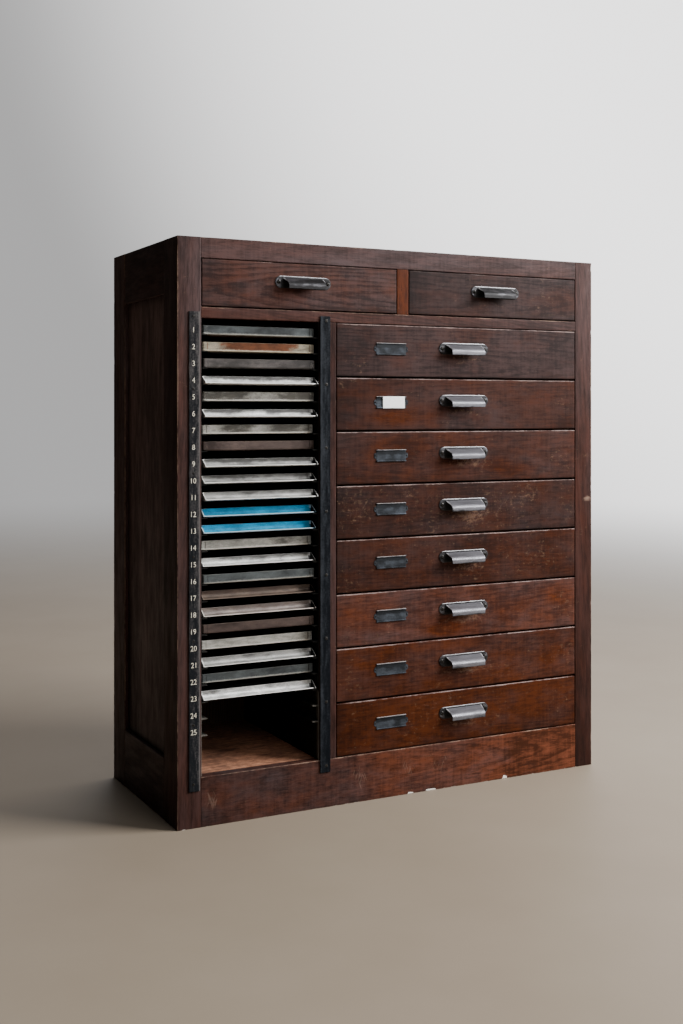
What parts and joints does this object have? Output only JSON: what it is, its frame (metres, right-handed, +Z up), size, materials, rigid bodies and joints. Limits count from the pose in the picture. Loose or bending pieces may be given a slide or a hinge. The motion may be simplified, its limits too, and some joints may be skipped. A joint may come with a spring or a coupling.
{
  "type": "printers cabinet",
  "caption": "Free-standing printer's cabinet in stained wood: framed sides, a bay of numbered ledges for metal galley trays, a stack of drawers beside it and drawers under the top.",
  "frame": {"origin": "on the floor, in the middle of the cabinet's box, pulls included", "axes": "+Z up, the front with its pulls faces -Y, +X to the right as seen from the front"},
  "size_m": [0.9746, 0.4172, 1.117],
  "materials": {
    "cabinet_wood": "dark stain, worn satin varnish",
    "drawer_wood": "red-brown stain, worn satin varnish",
    "inner_wood": "bare, darkened with age",
    "black_steel": "blackened, worn",
    "pull_steel": "pressed sheet, dull grey",
    "tray_zinc": "zinc plate, scuffed",
    "tray_brown": "rusted and grimed",
    "tray_blue": "blue paint, chipped edges"
  },
  "bodies": {
    "carcass": {"side_frame_left": "cabinet_wood", "side_panel_left": "cabinet_wood", "side_frame_right": "cabinet_wood", "side_panel_right": "cabinet_wood", "top_board": "cabinet_wood", "floor_board": "inner_wood", "top_rail": "cabinet_wood", "dust_frame": "cabinet_wood", "bottom_rail": "cabinet_wood", "mullion": "cabinet_wood", "muntin": "cabinet_wood", "partition": "inner_wood", "back_panel": "inner_wood", "number_strip": "black_steel", "plain_strip": "black_steel", "galley_rack_left": "black_steel", "galley_rack_right": "black_steel"},
    "tray_01": {"tray_01": "tray_zinc"},
    "tray_02": {"tray_02": "tray_brown"},
    "tray_03": {"tray_03": "tray_brown"},
    "tray_04": {"tray_04": "tray_zinc"},
    "tray_05": {"tray_05": "tray_zinc"},
    "tray_06": {"tray_06": "tray_zinc"},
    "tray_07": {"tray_07": "tray_zinc"},
    "tray_08": {"tray_08": "tray_brown"},
    "tray_09": {"tray_09": "tray_zinc"},
    "tray_10": {"tray_10": "tray_zinc"},
    "tray_11": {"tray_11": "tray_zinc"},
    "tray_12": {"tray_12": "tray_blue"},
    "tray_13": {"tray_13": "tray_blue"},
    "tray_14": {"tray_14": "tray_zinc"},
    "tray_15": {"tray_15": "tray_zinc"},
    "tray_16": {"tray_16": "tray_brown"},
    "tray_17": {"tray_17": "tray_brown"},
    "tray_18": {"tray_18": "tray_zinc"},
    "tray_19": {"tray_19": "tray_brown"},
    "tray_20": {"tray_20": "tray_zinc"},
    "tray_21": {"tray_21": "tray_zinc"},
    "tray_22": {"tray_22": "tray_zinc"},
    "tray_23": {"tray_23": "tray_zinc"},
    "drawer_top_left": {"drawer_top_left": "drawer_wood", "pull_top_left": "pull_steel"},
    "drawer_top_right": {"drawer_top_right": "drawer_wood", "pull_top_right": "pull_steel"},
    "drawer_1": {"drawer_1": "drawer_wood", "pull_1": "pull_steel"},
    "drawer_2": {"drawer_2": "drawer_wood", "pull_2": "pull_steel"},
    "drawer_3": {"drawer_3": "drawer_wood", "pull_3": "pull_steel"},
    "drawer_4": {"drawer_4": "drawer_wood", "pull_4": "pull_steel"},
    "drawer_5": {"drawer_5": "drawer_wood", "pull_5": "pull_steel"},
    "drawer_6": {"drawer_6": "drawer_wood", "pull_6": "pull_steel"},
    "drawer_7": {"drawer_7": "drawer_wood", "pull_7": "pull_steel"},
    "drawer_8": {"drawer_8": "drawer_wood", "pull_8": "pull_steel"}
  },
  "joints": [
    {"name": "tray_01_slide", "type": "slide", "parent": "carcass", "child": "tray_01", "axis": [0, -1, 0], "range_m": [0, 0.27]},
    {"name": "tray_02_slide", "type": "slide", "parent": "carcass", "child": "tray_02", "axis": [0, -1, 0], "range_m": [0, 0.27]},
    {"name": "tray_03_slide", "type": "slide", "parent": "carcass", "child": "tray_03", "axis": [0, -1, 0], "range_m": [0, 0.27]},
    {"name": "tray_04_slide", "type": "slide", "parent": "carcass", "child": "tray_04", "axis": [0, -1, 0], "range_m": [0, 0.27]},
    {"name": "tray_05_slide", "type": "slide", "parent": "carcass", "child": "tray_05", "axis": [0, -1, 0], "range_m": [0, 0.27]},
    {"name": "tray_06_slide", "type": "slide", "parent": "carcass", "child": "tray_06", "axis": [0, -1, 0], "range_m": [0, 0.27]},
    {"name": "tray_07_slide", "type": "slide", "parent": "carcass", "child": "tray_07", "axis": [0, -1, 0], "range_m": [0, 0.27]},
    {"name": "tray_08_slide", "type": "slide", "parent": "carcass", "child": "tray_08", "axis": [0, -1, 0], "range_m": [0, 0.27]},
    {"name": "tray_09_slide", "type": "slide", "parent": "carcass", "child": "tray_09", "axis": [0, -1, 0], "range_m": [0, 0.27]},
    {"name": "tray_10_slide", "type": "slide", "parent": "carcass", "child": "tray_10", "axis": [0, -1, 0], "range_m": [0, 0.27]},
    {"name": "tray_11_slide", "type": "slide", "parent": "carcass", "child": "tray_11", "axis": [0, -1, 0], "range_m": [0, 0.27]},
    {"name": "tray_12_slide", "type": "slide", "parent": "carcass", "child": "tray_12", "axis": [0, -1, 0], "range_m": [0, 0.27]},
    {"name": "tray_13_slide", "type": "slide", "parent": "carcass", "child": "tray_13", "axis": [0, -1, 0], "range_m": [0, 0.27]},
    {"name": "tray_14_slide", "type": "slide", "parent": "carcass", "child": "tray_14", "axis": [0, -1, 0], "range_m": [0, 0.27]},
    {"name": "tray_15_slide", "type": "slide", "parent": "carcass", "child": "tray_15", "axis": [0, -1, 0], "range_m": [0, 0.27]},
    {"name": "tray_16_slide", "type": "slide", "parent": "carcass", "child": "tray_16", "axis": [0, -1, 0], "range_m": [0, 0.27]},
    {"name": "tray_17_slide", "type": "slide", "parent": "carcass", "child": "tray_17", "axis": [0, -1, 0], "range_m": [0, 0.27]},
    {"name": "tray_18_slide", "type": "slide", "parent": "carcass", "child": "tray_18", "axis": [0, -1, 0], "range_m": [0, 0.27]},
    {"name": "tray_19_slide", "type": "slide", "parent": "carcass", "child": "tray_19", "axis": [0, -1, 0], "range_m": [0, 0.27]},
    {"name": "tray_20_slide", "type": "slide", "parent": "carcass", "child": "tray_20", "axis": [0, -1, 0], "range_m": [0, 0.27]},
    {"name": "tray_21_slide", "type": "slide", "parent": "carcass", "child": "tray_21", "axis": [0, -1, 0], "range_m": [0, 0.27]},
    {"name": "tray_22_slide", "type": "slide", "parent": "carcass", "child": "tray_22", "axis": [0, -1, 0], "range_m": [0, 0.27]},
    {"name": "tray_23_slide", "type": "slide", "parent": "carcass", "child": "tray_23", "axis": [0, -1, 0], "range_m": [0, 0.27]},
    {"name": "drawer_top_left_slide", "type": "slide", "parent": "carcass", "child": "drawer_top_left", "axis": [0, -1, 0], "range_m": [0, 0.25]},
    {"name": "drawer_top_right_slide", "type": "slide", "parent": "carcass", "child": "drawer_top_right", "axis": [0, -1, 0], "range_m": [0, 0.25]},
    {"name": "drawer_1_slide", "type": "slide", "parent": "carcass", "child": "drawer_1", "axis": [0, -1, 0], "range_m": [0, 0.25]},
    {"name": "drawer_2_slide", "type": "slide", "parent": "carcass", "child": "drawer_2", "axis": [0, -1, 0], "range_m": [0, 0.25]},
    {"name": "drawer_3_slide", "type": "slide", "parent": "carcass", "child": "drawer_3", "axis": [0, -1, 0], "range_m": [0, 0.25]},
    {"name": "drawer_4_slide", "type": "slide", "parent": "carcass", "child": "drawer_4", "axis": [0, -1, 0], "range_m": [0, 0.25]},
    {"name": "drawer_5_slide", "type": "slide", "parent": "carcass", "child": "drawer_5", "axis": [0, -1, 0], "range_m": [0, 0.25]},
    {"name": "drawer_6_slide", "type": "slide", "parent": "carcass", "child": "drawer_6", "axis": [0, -1, 0], "range_m": [0, 0.25]},
    {"name": "drawer_7_slide", "type": "slide", "parent": "carcass", "child": "drawer_7", "axis": [0, -1, 0], "range_m": [0, 0.25]},
    {"name": "drawer_8_slide", "type": "slide", "parent": "carcass", "child": "drawer_8", "axis": [0, -1, 0], "range_m": [0, 0.25]}
  ]
}
